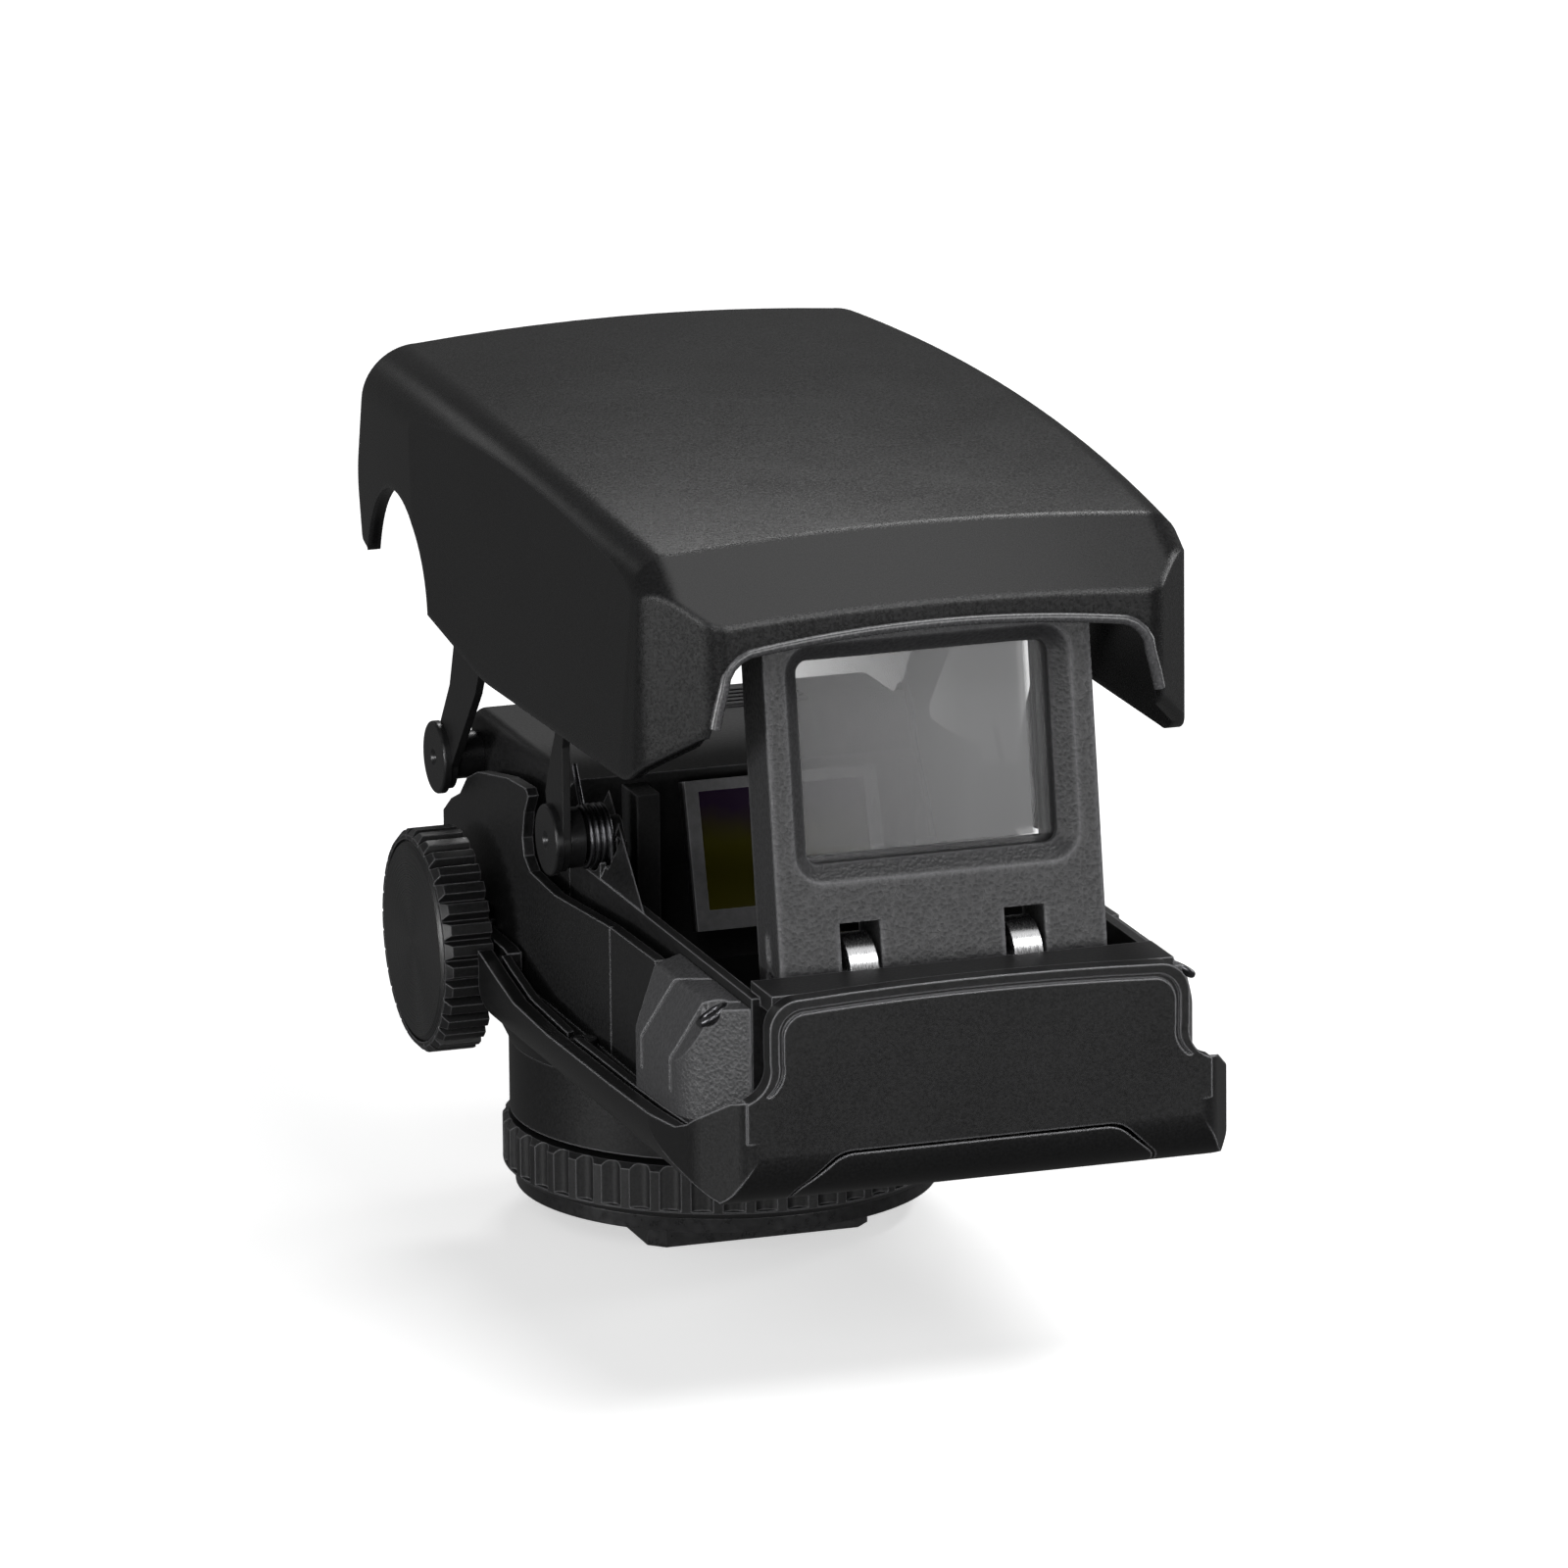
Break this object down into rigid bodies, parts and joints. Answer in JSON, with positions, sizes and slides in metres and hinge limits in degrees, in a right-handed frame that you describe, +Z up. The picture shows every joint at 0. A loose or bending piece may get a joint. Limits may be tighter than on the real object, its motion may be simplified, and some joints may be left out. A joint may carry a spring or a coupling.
{
  "type": "folding dot sight",
  "caption": "Folding dot sight for a camera's accessory shoe: pop-up cover on parallel arms, fold-down combiner window, adjusting dials and a clamp foot.",
  "frame": {"origin": "centre of the shoe foot's underside", "axes": "+Z up out of the camera's shoe, -Y towards the window and the subject, +Y towards the viewer, -X towards the brightness dial"},
  "size_m": [0.0496, 0.088, 0.0693],
  "materials": {
    "cover_plastic": "satin black, fine moulded grain",
    "base_plastic": "matte black, fine moulded grain",
    "chassis_plastic": "matte black, fine spark texture",
    "frame_plastic": "matte dark grey, coarse spark texture",
    "knob_plastic": "satin black, grooved",
    "cap_gloss": "gloss black, turned sheen",
    "ring_plastic": "satin dark grey, scalloped",
    "arm_metal": "matte black paint",
    "black_metal": "satin black plating",
    "spring_steel": "bright wire",
    "steel": "ground steel",
    "combiner_glass": "coated neutral glass",
    "emitter_glass": "olive coated glass",
    "emitter_silver": "satin grey",
    "emitter_black": "flat black",
    "led": "clear red",
    "cell_steel": "bright nickel",
    "contact_brass": "spring brass",
    "board": "green laminate",
    "switch_plastic": "grey moulding"
  },
  "bodies": {
    "root": {"shoe_foot": "black_metal", "foot_screws": "black_metal", "foot_stem": "black_metal", "base_shell": "base_plastic", "rim_flange": "chassis_plastic", "door_pin": "steel", "coin_cell": "cell_steel", "battery_contact_top": "contact_brass", "battery_contact_base": "contact_brass", "chassis": "chassis_plastic", "case_screws": "black_metal", "gusset_left": "chassis_plastic", "gusset_right": "chassis_plastic", "side_block_left": "chassis_plastic", "side_block_right": "chassis_plastic", "catch_hooks": "spring_steel", "rear_housing": "chassis_plastic", "rear_pivot_screws": "black_metal", "front_pivot_screws": "black_metal", "rear_pivot_bushes": "black_metal", "front_pivot_bushes": "black_metal", "torsion_spring_left": "spring_steel", "torsion_spring_right": "spring_steel", "window_hinge_pin": "steel", "window_hinge_ears": "steel", "window_spring": "spring_steel", "emitter_posts": "emitter_black", "circuit_board": "board", "rotary_switch": "switch_plastic"},
    "clamp": {"clamp_washer": "black_metal"},
    "ring": {"lock_ring": "ring_plastic"},
    "door": {"battery_door": "base_plastic"},
    "rear_arms": {"rear_arm_left": "arm_metal", "rear_arm_right": "arm_metal"},
    "front_arms": {"front_arm_left": "arm_metal", "front_arm_right": "arm_metal"},
    "cover": {"top_cover": "cover_plastic", "upper_pins": "steel"},
    "window": {"window_frame": "frame_plastic", "combiner_glass": "combiner_glass", "glass_retainer": "frame_plastic"},
    "carriage": {"elevation_carriage": "emitter_black"},
    "emitter": {"emitter_block": "emitter_black", "led_chip": "led", "emitter_bezel": "emitter_silver", "emitter_glass": "emitter_glass"},
    "dial": {"brightness_dial": "knob_plastic", "dial_cap": "cap_gloss", "dial_shaft": "steel"},
    "elevation": {"elevation_knob": "knob_plastic", "elevation_screw": "steel"},
    "windage": {"windage_knob": "knob_plastic", "windage_screw": "steel"},
    "release": {"release_slider": "knob_plastic"}
  },
  "joints": [
    {"name": "cover_lift", "type": "hinge", "parent": "root", "child": "rear_arms", "pos_m": [0, 0.0113, 0.0367], "axis": [1, 0, 0], "range_deg": [0, 83.9], "stiffness_Nm_per_rad": 0.004, "springref_deg": -45.84},
    {"name": "cover_level", "type": "hinge", "parent": "rear_arms", "child": "cover", "pos_m": [0, 0.00286, 0.05483], "axis": [1, 0, 0], "range_deg": [-84.5, 0]},
    {"name": "front_arm_swing", "type": "hinge", "parent": "root", "child": "front_arms", "pos_m": [0, -0.0182, 0.0372], "axis": [1, 0, 0], "range_deg": [0, 84.5]},
    {"name": "window_fold", "type": "hinge", "parent": "root", "child": "window", "pos_m": [0, -0.0512, 0.0334], "axis": [1, 0, 0], "range_deg": [-80, 0]},
    {"name": "dial_turn", "type": "hinge", "parent": "root", "child": "dial", "pos_m": [-0.021, 0.003, 0.024], "axis": [-1, 0, 0], "range_deg": [0, 210]},
    {"name": "elevation_turn", "type": "hinge", "parent": "root", "child": "elevation", "pos_m": [0.021, 0.003, 0.024], "axis": [1, 0, 0], "range_deg": [-192, 192]},
    {"name": "elevation_shift", "type": "slide", "parent": "root", "child": "carriage", "axis": [0, 0, 1], "range_m": [-0.0004, 0.0004]},
    {"name": "windage_turn", "type": "hinge", "parent": "root", "child": "windage", "pos_m": [0, 0.0142, 0.031], "axis": [0, 1, 0], "range_deg": [-192, 192]},
    {"name": "windage_shift", "type": "slide", "parent": "carriage", "child": "emitter", "axis": [1, 0, 0], "range_m": [-0.0004, 0.0004]},
    {"name": "clamp_slide", "type": "slide", "parent": "root", "child": "clamp", "axis": [0, 0, -1], "range_m": [0, 0.00075]},
    {"name": "ring_turn", "type": "hinge", "parent": "clamp", "child": "ring", "pos_m": [0, 0, 0.0064], "axis": [0, 0, -1], "range_deg": [-6, 276]},
    {"name": "door_swing", "type": "hinge", "parent": "root", "child": "door", "pos_m": [0, -0.037, 0.0197], "axis": [1, 0, 0], "range_deg": [0, 90]},
    {"name": "release_slide", "type": "slide", "parent": "root", "child": "release", "axis": [1, 0, 0], "range_m": [0, 0.002], "stiffness_N_per_m": 200}
  ],
  "couplings": [
    {"joint": "cover_level", "follows": "cover_lift", "ratio": -1},
    {"joint": "front_arm_swing", "follows": "cover_lift", "ratio": 1},
    {"joint": "window_fold", "follows": "cover_lift", "ratio": -0.9416},
    {"joint": "elevation_turn", "follows": "elevation_shift", "rad_per_m": 7854},
    {"joint": "windage_turn", "follows": "windage_shift", "rad_per_m": 7854},
    {"joint": "ring_turn", "follows": "clamp_slide", "rad_per_m": 6283.2}
  ]
}
